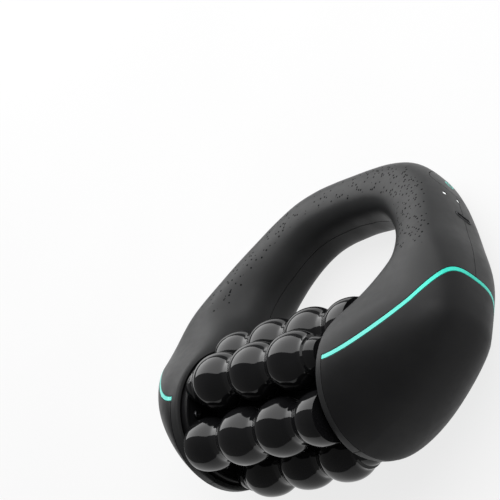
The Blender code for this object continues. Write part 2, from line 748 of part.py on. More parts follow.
def make_motor():
    start = -COVER_START
    motor_end = start + MOTOR_LENGTH
    gear_start, gear_end = motor_end + GAP, motor_end + GAP + GEARBOX_LENGTH
    place("drive_motor", cylinder_mesh("drive_motor", MOTOR_RADIUS, start, motor_end, ROUND_COUNT, "x"),
          finish=STEEL)
    bore = clear_radius(SHAFT_RADIUS, SMALL_COUNT)
    blind = gear_end - SHAFT_ENGAGEMENT - GAP
    gearbox = [(0.0, blind), (bore, blind), (bore, gear_end), (GEARBOX_RADIUS, gear_end),
               (GEARBOX_RADIUS, gear_start), (0.0, gear_start)]
    turned("motor_gearbox", gearbox, ROUND_COUNT, finish=STEEL)
    coupler_start = gear_end + COUPLER_STAND_OFF
    coupler_end = coupler_start + COUPLER_THICKNESS
    place("output_shaft", cylinder_mesh("output_shaft", SHAFT_RADIUS, gear_end - SHAFT_ENGAGEMENT,
                                        coupler_end, SMALL_COUNT, "x"), finish=STEEL)
    rim = (CORE_RADIUS - CORE_WALL) * math.cos(math.pi / ROUND_COUNT) - GAP
    turned("drive_coupler", ring_profile(rim, bore, coupler_start, coupler_end), ROUND_COUNT,
           finish=CARRIER_BLACK)


def row_centre(row):
    """Centre (y, z) of a roller, with the first row at the front."""
    angle = math.pi + row * ROW_ANGLE
    return ROW_RADIUS * math.cos(angle), ROW_RADIUS * math.sin(angle)


def make_carriers():
    socket = clear_radius(CORE_RADIUS, ROUND_COUNT)
    pocket = clear_radius(BEARING_RADIUS, ROUND_COUNT)
    profile = [(CARRIER_RADIUS, CARRIER_END), (CARRIER_RADIUS, CARRIER_START), (socket, CARRIER_START),
               (socket, CARRIER_STEP), (pocket, CARRIER_STEP), (pocket, CARRIER_END)]
    holes = [place("spindle_hole_%d" % (row + 1), cylinder_mesh(
        "spindle_hole_%d" % (row + 1), clear_radius(SPINDLE_RADIUS, SMALL_COUNT),
        -CARRIER_END - OVERRUN, CARRIER_END + OVERRUN, SMALL_COUNT, "x", row_centre(row)), cutter=True)
        for row in range(ROW_COUNT)]
    bore = BEARING_BORE / math.cos(math.pi / ROUND_COUNT)
    bearing = ring_profile(BEARING_RADIUS, bore, CARRIER_END - BEARING_WIDTH, CARRIER_END)
    for side, word in ((1.0, "right"), (-1.0, "left")):
        carrier = turned(word + "_carrier", flip(profile, side), ROUND_COUNT, finish=CARRIER_BLACK)
        for hole in holes:
            boolean(carrier, hole)
        turned(word + "_bearing", flip(bearing, side), ROUND_COUNT, finish=STEEL)
    core_end = CARRIER_STEP - GAP
    turned("core_tube", ring_profile(CORE_RADIUS, CORE_RADIUS - CORE_WALL, -core_end, core_end),
           ROUND_COUNT, finish=CARRIER_BLACK)


# Rollers: every second row has four beads, the others three and two collars

def bead_arc(centre, radius, start, end):
    """Points on a bead's full outline from place start down to place end, ends included."""
    power = BEAD_FULL_SHARE
    turns = []
    for at in (start, end):
        share = limit((at - centre) / BEAD_HALF_WIDTH, -1.0)
        turns.append(math.acos(math.copysign(abs(share) ** (power / 2.0), share)))
    points = []
    for step in range(BEAD_STEP_COUNT + 1):
        angle = between(*turns, step / BEAD_STEP_COUNT)
        across = math.copysign(abs(math.cos(angle)) ** (2.0 / power), math.cos(angle))
        points.append((radius * math.sin(angle) ** (2.0 / power), centre + across * BEAD_HALF_WIDTH))
    return points


def neck_half_width(radius):
    power = BEAD_FULL_SHARE
    return BEAD_HALF_WIDTH * (1.0 - (NECK_RADIUS / radius) ** power) ** (1.0 / power)


def roller_outline(bead_count):
    """The outer side of a roller, from its right end to its left end."""
    outline = []
    first = (bead_count - 1) * BEAD_PITCH / 2.0
    if bead_count % 2:
        collar = first + BEAD_PITCH / 2.0
        outline += [(COLLAR_END_RADIUS, ROLLER_HALF_LENGTH), (COLLAR_RADIUS, collar),
                    (NECK_RADIUS, collar - COLLAR_SLOPE)]
    for bead in range(bead_count):
        centre = first - bead * BEAD_PITCH
        at_end = bead_count % 2 == 0 and bead in (0, bead_count - 1)
        radius = END_BEAD_RADIUS if at_end else BEAD_RADIUS
        half = neck_half_width(radius)
        start = ROLLER_HALF_LENGTH if at_end and bead == 0 else centre + half
        end = -ROLLER_HALF_LENGTH if at_end and bead > 0 else centre - half
        outline += bead_arc(centre, radius, start, end)
    if bead_count % 2:
        outline += [(NECK_RADIUS, COLLAR_SLOPE - collar), (COLLAR_RADIUS, -collar),
                    (COLLAR_END_RADIUS, -ROLLER_HALF_LENGTH)]
    return outline


def make_rollers():
    bore = clear_radius(SPINDLE_RADIUS, ROLLER_COUNT)
    for row in range(ROW_COUNT):
        outline = roller_outline(ROW_BEAD_COUNTS[row % len(ROW_BEAD_COUNTS)])
        profile = outline + [(bore, -ROLLER_HALF_LENGTH), (bore, ROLLER_HALF_LENGTH)]
        roller = turned("roller_%d" % (row + 1), profile, ROLLER_COUNT, finish=GLOSS_BLACK)
        roller.location = (0.0, *row_centre(row))
        name = "spindle_%d" % (row + 1)
        place(name, cylinder_mesh(name, SPINDLE_RADIUS, -CARRIER_END, CARRIER_END, SMALL_COUNT, "x",
                                  row_centre(row)), finish=STEEL)


# The way it lies on a table: on the back row of beads and on the back of the arch

def resting_tilt():
    """Tilt at which the arch touches the plane that the back row of beads stands on."""
    tilts = []
    for section in ring_sections(0.0, OUTSIDE_COUNT):
        for _, y, z in section:
            reach = math.hypot(z, y - ROW_RADIUS)
            if z > FAN_HEIGHT and reach > BEAD_RADIUS:
                tilts.append(math.asin(BEAD_RADIUS / reach) - math.atan2(y - ROW_RADIUS, z))
    return min(tilts)


def lay_down():
    """Lay the object on its back, with its base's centre at the origin."""
    tilt = resting_tilt()
    UPRIGHT.rotation_euler = (-math.pi / 2.0 - tilt, 0.0, 0.0)
    bpy.context.view_layer.update()
    graph = bpy.context.evaluated_depsgraph_get()
    low, high = Vector((math.inf,) * 3), Vector((-math.inf,) * 3)
    for item in PARTS.objects:
        if item.type != "MESH":
            continue
        solid = item.evaluated_get(graph)
        for corner in solid.to_mesh().vertices:
            at = solid.matrix_world @ corner.co
            low = Vector(min(pair) for pair in zip(low, at))
            high = Vector(max(pair) for pair in zip(high, at))
        solid.to_mesh_clear()
    UPRIGHT.location = (-(low.x + high.x) / 2.0, -(low.y + high.y) / 2.0, -low.z)
    bpy.context.view_layer.update()


def shade_round():
    for item in PARTS.objects:
        if item.type == "MESH":
            item.data.shade_smooth()
            item.data.set_sharp_from_angle(angle=SHARP_ANGLE)


set_shoulder()
make_shells(make_opening_cutters())
make_cheeks()
make_controls()
make_socket()
make_battery()
make_end_plates()
make_motor()
make_carriers()
make_rollers()
shade_round()
lay_down()
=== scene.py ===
"""Looks of the hand-held massage roller.

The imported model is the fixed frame. The housing, covers, light strips, button, carriers and bead
rollers are made again here as fine smooth meshes in the same places; everything else keeps its
solid and gets its finish. The power sign and the carriers' screws are made only here. Lengths are
in metres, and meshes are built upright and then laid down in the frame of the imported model.
"""
import json
import math
import bmesh
import bpy
from mathutils import Matrix, Vector
from mathutils.bvhtree import BVHTree


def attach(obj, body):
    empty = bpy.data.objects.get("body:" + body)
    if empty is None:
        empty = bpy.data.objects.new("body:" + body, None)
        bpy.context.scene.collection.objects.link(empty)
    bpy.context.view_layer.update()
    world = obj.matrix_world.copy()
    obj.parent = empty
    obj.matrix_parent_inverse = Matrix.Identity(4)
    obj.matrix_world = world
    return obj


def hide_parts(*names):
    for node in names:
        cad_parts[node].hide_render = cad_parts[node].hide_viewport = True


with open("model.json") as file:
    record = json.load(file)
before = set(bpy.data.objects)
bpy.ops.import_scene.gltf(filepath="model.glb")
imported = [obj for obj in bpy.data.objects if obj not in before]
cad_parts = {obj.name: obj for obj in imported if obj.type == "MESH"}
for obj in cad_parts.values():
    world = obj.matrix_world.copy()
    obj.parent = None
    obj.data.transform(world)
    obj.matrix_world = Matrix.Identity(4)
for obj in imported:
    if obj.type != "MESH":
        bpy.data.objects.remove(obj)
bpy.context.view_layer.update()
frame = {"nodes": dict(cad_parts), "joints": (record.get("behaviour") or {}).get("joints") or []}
MM = 0.001

# Handle and cheeks, as the solids have them
CHEEK_GAP_HALF = 46.0 * MM
RIM_RADIUS = 32.6 * MM
RIM_LAND = 4.5 * MM
RIM_WALL = 2.1 * MM
CHEEK_REACH = 96.7 * MM
CHEEK_WIDEST_HEIGHT = 18.4 * MM
FAN_HEIGHT = 50.0 * MM
OPENING_HALF_WIDTH = 46.0 * MM
LIMB_THICKNESS = 40.75 * MM
LIMB_HALF_DEPTH = 21.1 * MM
WALL = 2.6 * MM
HOLLOW_SET_BACK = 0.6 * MM
GAP = 0.3 * MM
COVER_START = CHEEK_GAP_HALF + RIM_LAND
OVERRUN = 8.0 * MM
MERGE = 0.01 * MM

# Shape of the cheek's taper and of the sections, as exponents and shares
CHEEK_TAPER_SHARES = (1.48, 1.16)
LIMB_DROP_SHARE = 1.5
DEPTH_FADE_SHARE = 4.6
LIMB_FLARE_SHARE = 0.12
INSIDE_FADE_SHARE = 4.0
INSIDE_RISE_SHARE = 1.53
DEEPEST_SHARE = 0.538
SECTION_SHARES = {"rim": 1.46, "cheek": 2.1, "arch": 2.7, "rim_inside": 8.0, "limb_inside": 1.93}
FOOT_TURN = math.radians(1.15)
ARCH_STATION_SHARES = (
    (1.000, 1.000, 1.000),
    (0.994, 0.822, 0.904),
    (0.970, 0.752, 0.814),
    (0.948, 0.728, 0.735),
    (0.945, 0.702, 0.692),
    (0.937, 0.676, 0.673),
    (0.903, 0.643, 0.663),
    (0.872, 0.608, 0.661),
    (0.867, 0.584, 0.660),
)

# Light strip
STRIP_TOP = 39.0 * MM
STRIP_SHOULDER = 15.3 * MM
STRIP_ROUNDING = 2.7 * MM
STRIP_FALL_SHARE = 2.8
STRIP_WIDTH = 1.7 * MM
STRIP_INSIDE_SHARE = 0.7
STRIP_OUTSIDE_SHARE = 1.4
PALE_REACH = (12.0 * MM, 27.0 * MM)

# Shoulder controls
SHOULDER_ANGLE = math.radians(28.0)
BUTTON_RADIUS = 9.7 * MM
BUTTON_OFFSET = 14.0 * MM
BUTTON_SKIRT = 6.4 * MM
STATUS_RADIUS = 0.9 * MM
STATUS_SPACING = 7.5 * MM
BOARD_DEPTH = 11.0 * MM
PORT_OFFSET = 12.8 * MM
SOCKET_WIDTH = 8.94 * MM
SOCKET_HEIGHT = 3.26 * MM
SIGN_RADIUS = 2.1 * MM
SIGN_LINE = 0.6 * MM
SIGN_GAP = math.radians(38.0)
SIGN_RAISE = 0.06 * MM
SIGN_BAR_SHARES = (0.35, 0.6, 0.9, 1.2)

# Drum, each size inward from the rim
RECESS_RADIUS = RIM_RADIUS - RIM_WALL
CARRIER_RADIUS = RECESS_RADIUS - 1.0 * MM
CARRIER_MARGIN = 4.14 * MM
BEAD_RADIUS = (CARRIER_RADIUS - CARRIER_MARGIN) / 2.0 - 0.1 * MM
BEAD_PITCH = 25.0 * MM
BEAD_HALF_WIDTH = 12.8 * MM
BEAD_FULL_SHARE = 2.2
END_BEAD_STEP = 0.8 * MM
NECK_RADIUS = BEAD_RADIUS - 3.8 * MM
COLLAR_RADIUS = NECK_RADIUS - 0.9 * MM
COLLAR_TAPER = 1.5 * MM
NECK_FILLET_SHARE = 14.0
ROLLER_HALF_LENGTH = 43.0 * MM
SPINDLE_RADIUS = 1.75 * MM
CORE_RADIUS = CARRIER_RADIUS - CARRIER_MARGIN - BEAD_RADIUS - 0.58 * MM
CARRIER_THICKNESS = 4.2 * MM
CARRIER_RELIEF = 0.5 * MM
CARRIER_EDGE = 0.8 * MM
CARRIER_LIP = 1.6 * MM
BEARING_RADIUS = 15.1 * MM
BEARING_SEAT = 2.3 * MM
ROW_BEADS = (3, 4)
SCREW_RADIUS = 1.9 * MM
SCREW_HEIGHT = 1.3 * MM
SCREW_SOCKET = 0.95 * MM
SCREW_SOCKET_SHARE = 0.4
SCREW_HEAD_SHARES = ((1.0, 0.5), (0.93, 0.8), (0.75, 1.0))
SCREW_CIRCLE = 23.4 * MM
SCREW_TURN = math.radians(26.5)

# Scatter of dots on the arch's front: where it runs, and how many of the cells have a dot
SPECKLE_FRONT_START = 0.42
SPECKLE_FRONT_SLOPE = 6.0
SPECKLE_MIDDLE = 0.53
SPECKLE_BAND = 3.0
SPECKLE_BAND_SLOPE = 10.0
SPECKLE_END = 187.0
SPECKLE_END_FADE = 8.0
SPECKLE_CORNER = 42.0
SPECKLE_CORNER_SPREAD = 36.0
SPECKLE_EVERYWHERE = 0.22
SPECKLE_AT_CORNER = 0.14
SPECKLE_CELLS = 700.0
SPECKLE_DOT = 0.36
SPECKLE_BLACK = (0.001, 0.001, 0.001)
SPECKLE_ROUGHNESS = 0.95

# Counts of the fine meshes, and the angle from which an edge is shaded sharp
SIDES = 96
LEG_LEVELS = 48
ARCH_STEPS = 44
HOLLOW_SIDES = 26
HOLLOW_LEVELS = 17
HOLLOW_STEPS = 14
STRIP_STEPS = 64
ROUND = 96
BEAD_SIDES = 56
BEAD_STEPS = 150
SMALL_SIDES = 24
PORT_STEPS = 12
SIGN_STEPS = 40
EDGE_STEPS = 6
HALVINGS = 30
SHARP_ANGLE = math.radians(32.0)

# Fine textures: cells per metre, and the height of the grain
BROAD_MOTTLE = 45.0
FINE_MOTTLE = 260.0
FINE_GRAIN = 3200.0
GRAIN_HEIGHT = 0.012 * MM


# The upright frame: x across, y from front to back, z from the drum's axis to the arch

JOINTS = {joint["name"]: joint for joint in frame["joints"]}
DRUM = Vector(JOINTS["drum_spin"]["pos_m"])
FIRST_ROW = Vector(JOINTS["roller_1_spin"]["pos_m"]) - DRUM
ROW_RADIUS = FIRST_ROW.length
ROW_COUNT = 6


def frame_matrix(across, back, up, origin):
    turn = Matrix((across, back, up)).transposed().to_4x4()
    return Matrix.Translation(origin) @ turn


def upright_frame():
    across = Vector((1.0, 0.0, 0.0))
    back = -FIRST_ROW.normalized()
    return frame_matrix(across, back, across.cross(back), DRUM)


UPRIGHT = upright_frame()


# Sections of the ring

def between(start, end, share):
    return start + (end - start) * share


def limit(value):
    return min(max(value, 0.0), 1.0)


def ease(share):
    """A share that leaves 0 and reaches 1 without a kink."""
    held = limit(share)
    return held * held * (3.0 - 2.0 * held)


def smooth(t, before, low, high, after):
    """A value at t from low to high, on a curve that also heeds the values beside them."""
    bend = 2.0 * before - 5.0 * low + 4.0 * high - after
    twist = 3.0 * (low - high) + after - before
    return low + t * (high - before + t * (bend + t * twist)) / 2.0


def arch_station(share):
    """Inner radius, thickness and half depth on a smooth curve through the stations."""
    rows = ARCH_STATION_SHARES
    last = len(rows) - 1
    at = limit(share) * last
    here = min(int(at), last - 1)
    low, high = rows[here], rows[here + 1]
    before = rows[here - 1] if here else [2.0 * a - b for a, b in zip(low, high)]
    after = rows[here + 2] if here + 2 <= last else low
    inner, thick, deep = (smooth(at - here, *points) for points in zip(before, low, high, after))
    return inner * OPENING_HALF_WIDTH, thick * LIMB_THICKNESS, deep * LIMB_HALF_DEPTH


def leg_reach(height, inset):
    """How far out the cheek and the lower limb reach at a height."""
    reach = CHEEK_REACH - inset
    if height < CHEEK_WIDEST_HEIGHT:
        share = (CHEEK_WIDEST_HEIGHT - height) / (CHEEK_WIDEST_HEIGHT + RIM_RADIUS - inset)
        inner_power, outer_power = CHEEK_TAPER_SHARES
        full = max(1.0 - share ** inner_power, 0.0) ** (1.0 / outer_power)
        return COVER_START + (reach - COVER_START) * full
    top = OPENING_HALF_WIDTH + LIMB_THICKNESS - inset
    share = (height - CHEEK_WIDEST_HEIGHT) / (FAN_HEIGHT - CHEEK_WIDEST_HEIGHT)
    return between(reach, top, share ** LIMB_DROP_SHARE)


def leg_half_depth(height, inset):
    if height <= 0.0:
        radius = RIM_RADIUS - inset
        return math.sqrt(max(radius * radius - height * height, MERGE * MERGE))
    share = height / FAN_HEIGHT
    flare = LIMB_FLARE_SHARE * (FAN_HEIGHT - height) * share * share
    fade = (1.0 - share * share) ** DEPTH_FADE_SHARE
    return between(LIMB_HALF_DEPTH, RIM_RADIUS, fade) + flare - inset


def rounded_section(inner, middle, outer, half_depth, inner_power, outer_power, sides):
    """Points of a section whose inner and outer halves are superellipses of unlike power.

    The hollow has fewer sides and starts half a side round, so no corner lies on the seam.
    """
    first = 0.0 if sides == SIDES else 1.0 / 2.0
    points = []
    for side in range(sides):
        angle = 2.0 * math.pi * (side + first) / sides
        across, deep = math.cos(angle), math.sin(angle)
        power = outer_power if across > 0.0 else inner_power
        reach = outer - middle if across > 0.0 else middle - inner
        x = middle + math.copysign(abs(across) ** (2.0 / power), across) * reach
        points.append((x, math.copysign(abs(deep) ** (2.0 / power), deep) * half_depth))
    return points


def leg_measures(height, inset):
    """Inner edge, deepest line, outer edge, half depth, and inner and outer power at a height."""
    share = ease(height / FAN_HEIGHT)
    low = limit((CHEEK_WIDEST_HEIGHT - height) / (CHEEK_WIDEST_HEIGHT + RIM_RADIUS))
    inner = CHEEK_GAP_HALF
    if inset > 0.0:
        inner = between(COVER_START - HOLLOW_SET_BACK, CHEEK_GAP_HALF + inset,
                        limit(height / FAN_HEIGHT) ** INSIDE_FADE_SHARE)
    deepest = between(CHEEK_GAP_HALF, leg_reach(height, 0.0), DEEPEST_SHARE)
    middle = between(COVER_START, deepest, share)
    powers = SECTION_SHARES
    outer_power = between(between(powers["cheek"], powers["rim"], low), powers["arch"],
                          share * (1.0 - low))
    inner_power = between(powers["rim_inside"], powers["limb_inside"], share)
    return (inner, middle, leg_reach(height, inset), leg_half_depth(height, inset),
            inner_power, outer_power)


def leg_section(height, inset, sides):
    section = rounded_section(*leg_measures(height, inset), sides)
    return [(x, y, height) for x, y in section]


def arch_section(share, inset, sides):
    inner, thick, deep = arch_station(share)
    powers = SECTION_SHARES
    rise = ease(INSIDE_RISE_SHARE * share)
    inner_power = between(powers["limb_inside"], powers["arch"], rise)
    middle = inner + thick * between(DEEPEST_SHARE, 1.0 / 2.0, rise)
    section = rounded_section(inner + inset, middle, inner + thick - inset, deep - inset,
                              inner_power, powers["arch"], sides)
    fall = (1.0 - share) * math.pi / 2.0
    return [(radius * math.sin(fall), y, FAN_HEIGHT + radius * math.cos(fall))
            for radius, y in section]


def ring_sections(inset, sides, levels, steps):
    foot = RIM_RADIUS - inset
    right = []
    for level in range(levels):
        turn = between(FOOT_TURN, math.pi / 2.0, level / levels)
        height = between(-foot, FAN_HEIGHT, 1.0 - math.cos(turn))
        right.append(leg_section(height, inset, sides))
    for step in range(steps + 1):
        right.append(arch_section(step / steps, inset, sides))
    left = [[(-x, y, z) for x, y, z in section] for section in reversed(right[:-1])]
    return right + left


# Meshes, in the upright frame until they are laid down

def mesh_from(name, build):
    cage = bmesh.new()
    build(cage)
    bmesh.ops.recalc_face_normals(cage, faces=cage.faces[:])
    mesh = bpy.data.meshes.new(name)
    cage.to_mesh(mesh)
    cage.free()
    return mesh


def ring_mesh(name, inset, sides, levels, steps):
    """The sections joined by triangles, whose slants are mirrored from front to back."""
    sections = ring_sections(inset, sides, levels, steps)
    crown = len(sections) // 2

    def build(cage):
        rings = [[cage.verts.new(point) for point in section] for section in sections]
        for ring in (rings[0], rings[-1]):
            cage.faces.new(ring)
        for level, (low, high) in enumerate(zip(rings, rings[1:])):
            for here in range(sides):
                nxt = (here + 1) % sides
                if (here < sides // 2) == (level < crown):
                    cage.faces.new((low[here], low[nxt], high[nxt]))
                    cage.faces.new((low[here], high[nxt], high[here]))
                else:
                    cage.faces.new((low[here], low[nxt], high[here]))
                    cage.faces.new((low[nxt], high[nxt], high[here]))
    return mesh_from(name, build)


def box_mesh(name, low, high):
    size = [top - bottom for bottom, top in zip(low, high)]
    middle = [(top + bottom) / 2.0 for bottom, top in zip(low, high)]
    where = Matrix.Translation(middle) @ Matrix.Diagonal((*size, 1.0))
    return mesh_from(name, lambda cage: bmesh.ops.create_cube(cage, size=1.0, matrix=where))


def cylinder_mesh(name, radius, low, high, sides, where):
    """A cylinder from low to high along the z axis of where."""
    middle = where @ Matrix.Translation((0.0, 0.0, (low + high) / 2.0))
    return mesh_from(name, lambda cage: bmesh.ops.create_cone(
        cage, cap_ends=True, segments=sides, radius1=radius, radius2=radius,
        depth=high - low, matrix=middle))


def prism_mesh(name, outline, low, high, where):
    """An outline in x and y carried from low to high along the z axis of where."""
    def build(cage):
        ends = [[cage.verts.new(where @ Vector((*point, at))) for point in outline]
                for at in (low, high)]
        for end in ends:
            cage.faces.new(end)
        for here in range(len(outline)):
            nxt = (here + 1) % len(outline)
            cage.faces.new((ends[0][here], ends[0][nxt], ends[1][nxt], ends[1][here]))
    return mesh_from(name, build)


def turned_mesh(name, profile, sides, centre=(0.0, 0.0)):
    """A closed profile of (radius, x) points turned about the x axis through centre."""
    def build(cage):
        rings = []
        for radius, x in profile:
            ring = []
            for side in range(sides):
                angle = 2.0 * math.pi * side / sides
                ring.append(cage.verts.new((x, centre[0] + radius * math.cos(angle),
                                            centre[1] + radius * math.sin(angle))))
            rings.append(ring)
        for here in range(len(rings)):
            low, high = rings[here], rings[(here + 1) % len(rings)]
            for side in range(sides):
                nxt = (side + 1) % sides
                cage.faces.new((low[side], low[nxt], high[nxt], high[side]))
    return mesh_from(name, build)


def scratch(name, mesh):
    made = bpy.data.objects.new(name, mesh)
    bpy.context.scene.collection.objects.link(made)
    return made


def cut(name, base, cutters, operation="DIFFERENCE"):
    """Mesh of base after one exact Boolean with all the cutters."""
    target = scratch(name, base)
    tools = bpy.data.collections.new(name + "_tools")
    for tool in cutters:
        tools.objects.link(tool)
    change = target.modifiers.new("cut", "BOOLEAN")
    change.operation = operation
    change.solver = "EXACT"
    if len(cutters) == 1:
        change.object = cutters[0]
    else:
        change.operand_type = "COLLECTION"
        change.collection = tools
    graph = bpy.context.evaluated_depsgraph_get()
    mesh = bpy.data.meshes.new_from_object(target.evaluated_get(graph))
    bpy.data.objects.remove(target, do_unlink=True)
    bpy.data.collections.remove(tools)
    return mesh


def mirrored(name, mesh):
    copy = mesh.copy()
    copy.name = name
    copy.transform(Matrix.Diagonal((-1.0, 1.0, 1.0, 1.0)))
    copy.flip_normals()
    return copy


def piece(name, mesh, body, finish, stands_for=()):
    """Lay an upright mesh down in the model's frame as a finished piece of a body."""
    mesh.transform(UPRIGHT)
    mesh.shade_smooth()
    mesh.set_sharp_from_angle(angle=SHARP_ANGLE)
    mesh.materials.clear()
    mesh.materials.append(finish)
    made = bpy.data.objects.new(name, mesh)
    bpy.context.scene.collection.objects.link(made)
    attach(made, body)
    if stands_for:
        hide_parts(*stands_for)
    return made


# Materials

class Nodes:
    """Short calls for building a material's node tree."""

    def __init__(self, name):
        self.material = bpy.data.materials.new(name)
        self.material.use_nodes = True
        self.tree = self.material.node_tree
        self.shader = self.tree.nodes["Principled BSDF"]

    def node(self, kind, **settings):
        made = self.tree.nodes.new(kind)
        for key, value in settings.items():
            if key in made.inputs:
                made.inputs[key].default_value = value
            else:
                setattr(made, key, value)
        return made

    def link(self, output, socket):
        self.tree.links.new(output, socket)

    def set(self, **values):
        for key, value in values.items():
            self.shader.inputs[key.replace("_", " ")].default_value = value

    def place(self):
        return self.node("ShaderNodeTexCoord").outputs["Object"]

    def noise(self, place, scale, detail=2.0):
        made = self.node("ShaderNodeTexNoise", Scale=scale, Detail=detail)
        self.link(place, made.inputs["Vector"])
        return made.outputs["Fac"]

    def lattice(self, place, scale, feature):
        made = self.node("ShaderNodeTexVoronoi", feature=feature, Scale=scale)
        self.link(place, made.inputs["Vector"])
        return made.outputs

    def spread(self, value, low, high, start=0.3, end=0.7):
        made = self.node("ShaderNodeMapRange")
        limits = {"From Min": start, "From Max": end, "To Min": low, "To Max": high}
        for key, number in limits.items():
            made.inputs[key].default_value = number
        self.link(value, made.inputs["Value"])
        return made.outputs["Result"]

    def mix(self, share, first, second):
        made = self.node("ShaderNodeMix", data_type="RGBA")
        for at, value in ((0, share), (6, first), (7, second)):
            socket = made.inputs[at]
            if isinstance(value, (tuple, list)):
                socket.default_value = (*value, 1.0)
            elif isinstance(value, float):
                socket.default_value = value
            else:
                self.link(value, socket)
        return made.outputs[2]

    def math(self, operation, first, second=0.0):
        made = self.node("ShaderNodeMath", operation=operation)
        for socket, value in zip(made.inputs, (first, second)):
            if isinstance(value, float):
                socket.default_value = value
            else:
                self.link(value, socket)
        return made.outputs[0]

    def mottle(self, place, scale, dark, light):
        """A colour that drifts between dark and light."""
        return self.mix(self.spread(self.noise(place, scale), 0.0, 1.0), dark, light)

    def colour(self, output):
        self.link(output, self.shader.inputs["Base Color"])

    def roughness(self, output):
        self.link(output, self.shader.inputs["Roughness"])

    def bump(self, height, distance, strength, edge=0.0):
        made = self.node("ShaderNodeBump", Strength=strength, Distance=distance)
        self.link(height, made.inputs["Height"])
        if edge:
            rounded = self.node("ShaderNodeBevel", samples=4, Radius=edge)
            self.link(rounded.outputs["Normal"], made.inputs["Normal"])
        self.link(made.outputs["Normal"], self.shader.inputs["Normal"])


def moulded(name, dark, light, roughness, gloss=0.5, edge=0.3 * MM, speckle=False):
    """Moulded plastic: fine grain, faint mottling and, if asked, the scatter of dots."""
    made = Nodes(name)
    place = made.place()
    colour = made.mottle(place, BROAD_MOTTLE, dark, light)
    rough = made.spread(made.noise(place, FINE_MOTTLE, detail=3.0),
                        roughness - 0.03, roughness + 0.05)
    if speckle:
        dots = speckle_mask(made, place)
        colour = made.mix(dots, colour, SPECKLE_BLACK)
        rough = made.math("MAXIMUM", rough, made.math("MULTIPLY", dots, SPECKLE_ROUGHNESS))
    made.colour(colour)
    made.roughness(rough)
    made.set(Specular_IOR_Level=gloss)
    made.bump(made.noise(place, FINE_GRAIN), GRAIN_HEIGHT, strength=0.5, edge=edge)
    return made.material


def speckle_mask(made, place):
    """One where a dot is: as many of a lattice's cells as the mesh's density asks for."""
    cells = made.lattice(place, SPECKLE_CELLS, "F1")
    near = made.math("LESS_THAN", cells["Distance"], SPECKLE_DOT)
    pick = made.node("ShaderNodeSeparateColor")
    made.link(cells["Color"], pick.inputs[0])
    density = made.node("ShaderNodeAttribute", attribute_name="speckle")
    chosen = made.math("LESS_THAN", pick.outputs[0], density.outputs["Fac"])
    return made.math("MULTIPLY", near, chosen)


def glossy_black():
    made = Nodes("gloss_black_beads")
    place = made.place()
    made.colour(made.mottle(place, 60.0, (0.004, 0.004, 0.0045), (0.007, 0.007, 0.0075)))
    made.roughness(made.spread(made.noise(place, 320.0), 0.04, 0.07))
    made.set(Specular_IOR_Level=0.29)
    made.bump(made.noise(place, 90.0, detail=1.0), 0.006 * MM, strength=0.1, edge=0.25 * MM)
    return made.material


def light_guide(name, dark, light, glow, strength, pale=None):
    """A translucent light guide lit from behind, paler toward its ends if asked."""
    made = Nodes(name)
    place = made.place()
    colour = made.mottle(place, 70.0, dark, light)
    if pale:
        apart = made.node("ShaderNodeSeparateXYZ")
        made.link(place, apart.inputs[0])
        off = made.math("ABSOLUTE", made.math("SUBTRACT", apart.outputs["Z"], DRUM.z))
        colour = made.mix(made.spread(off, 0.0, 1.0, *PALE_REACH), colour, pale)
    made.colour(colour)
    drift = made.spread(made.noise(place, 38.0, detail=1.0), 0.0, 1.0)
    made.link(made.mix(drift, dark, glow), made.shader.inputs["Emission Color"])
    made.set(Emission_Strength=strength, Specular_IOR_Level=0.2)
    made.roughness(made.spread(made.noise(place, 500.0), 0.26, 0.36))
    made.bump(made.noise(place, 900.0, detail=1.0), 0.01 * MM, strength=0.3)
    return made.material


def metal(name, dark, light, roughness, stretch):
    """Drawn or turned metal with streaks along the stretched axis."""
    made = Nodes(name)
    mapping = made.node("ShaderNodeMapping", Scale=stretch)
    made.link(made.place(), mapping.inputs["Vector"])
    streak = made.noise(mapping.outputs["Vector"], 900.0, detail=4.0)
    made.colour(made.mix(made.spread(streak, 0.0, 1.0), dark, light))
    made.roughness(made.spread(streak, roughness - 0.06, roughness + 0.08))
    made.set(Metallic=1.0)
    made.bump(streak, 0.01 * MM, strength=0.25)
    return made.material


def circuit_board():
    made = Nodes("solder_mask")
    place = made.place()
    cells = made.lattice(place, 380.0, "DISTANCE_TO_EDGE")
    trace = made.math("LESS_THAN", cells["Distance"], 0.06)
    made.colour(made.mix(trace, (0.012, 0.09, 0.035), (0.03, 0.2, 0.08)))
    made.roughness(made.spread(made.noise(place, 300.0), 0.35, 0.5))
    made.bump(trace, 0.03 * MM, strength=0.4)
    return made.material


CHARCOAL = ((0.020, 0.0203, 0.0207), (0.025, 0.0253, 0.0258))
SHELL = moulded("satin_charcoal", *CHARCOAL, 0.38, 0.12, speckle=True)
COVER = moulded("satin_cover", (0.008, 0.008, 0.0085), (0.011, 0.011, 0.0115), 0.42, 0.15)
BUTTON = moulded("satin_button", *CHARCOAL, 0.36, 0.12)
CARRIER = moulded("satin_carrier", (0.005, 0.005, 0.0055), (0.008, 0.008, 0.0085), 0.42, 0.17)
INNER = moulded("moulded_inner", (0.010, 0.010, 0.011), (0.016, 0.016, 0.017), 0.5, edge=0.0)
BEAD = glossy_black()
TEAL = light_guide("teal_light", (0.02, 0.47, 0.36), (0.05, 0.57, 0.45), (0.05, 0.70, 0.56), 0.12,
                   pale=(0.14, 0.62, 0.54))
WHITE = light_guide("white_light", (0.80, 0.82, 0.82), (0.92, 0.93, 0.93), (1.0, 1.0, 1.0), 0.35)
STEEL = metal("drawn_steel", (0.42, 0.42, 0.43), (0.62, 0.62, 0.63), 0.28, (0.04, 1.0, 1.0))
DARK_STEEL = metal("black_nickel", (0.06, 0.06, 0.065), (0.12, 0.12, 0.125), 0.34, (1.0, 0.1, 1.0))
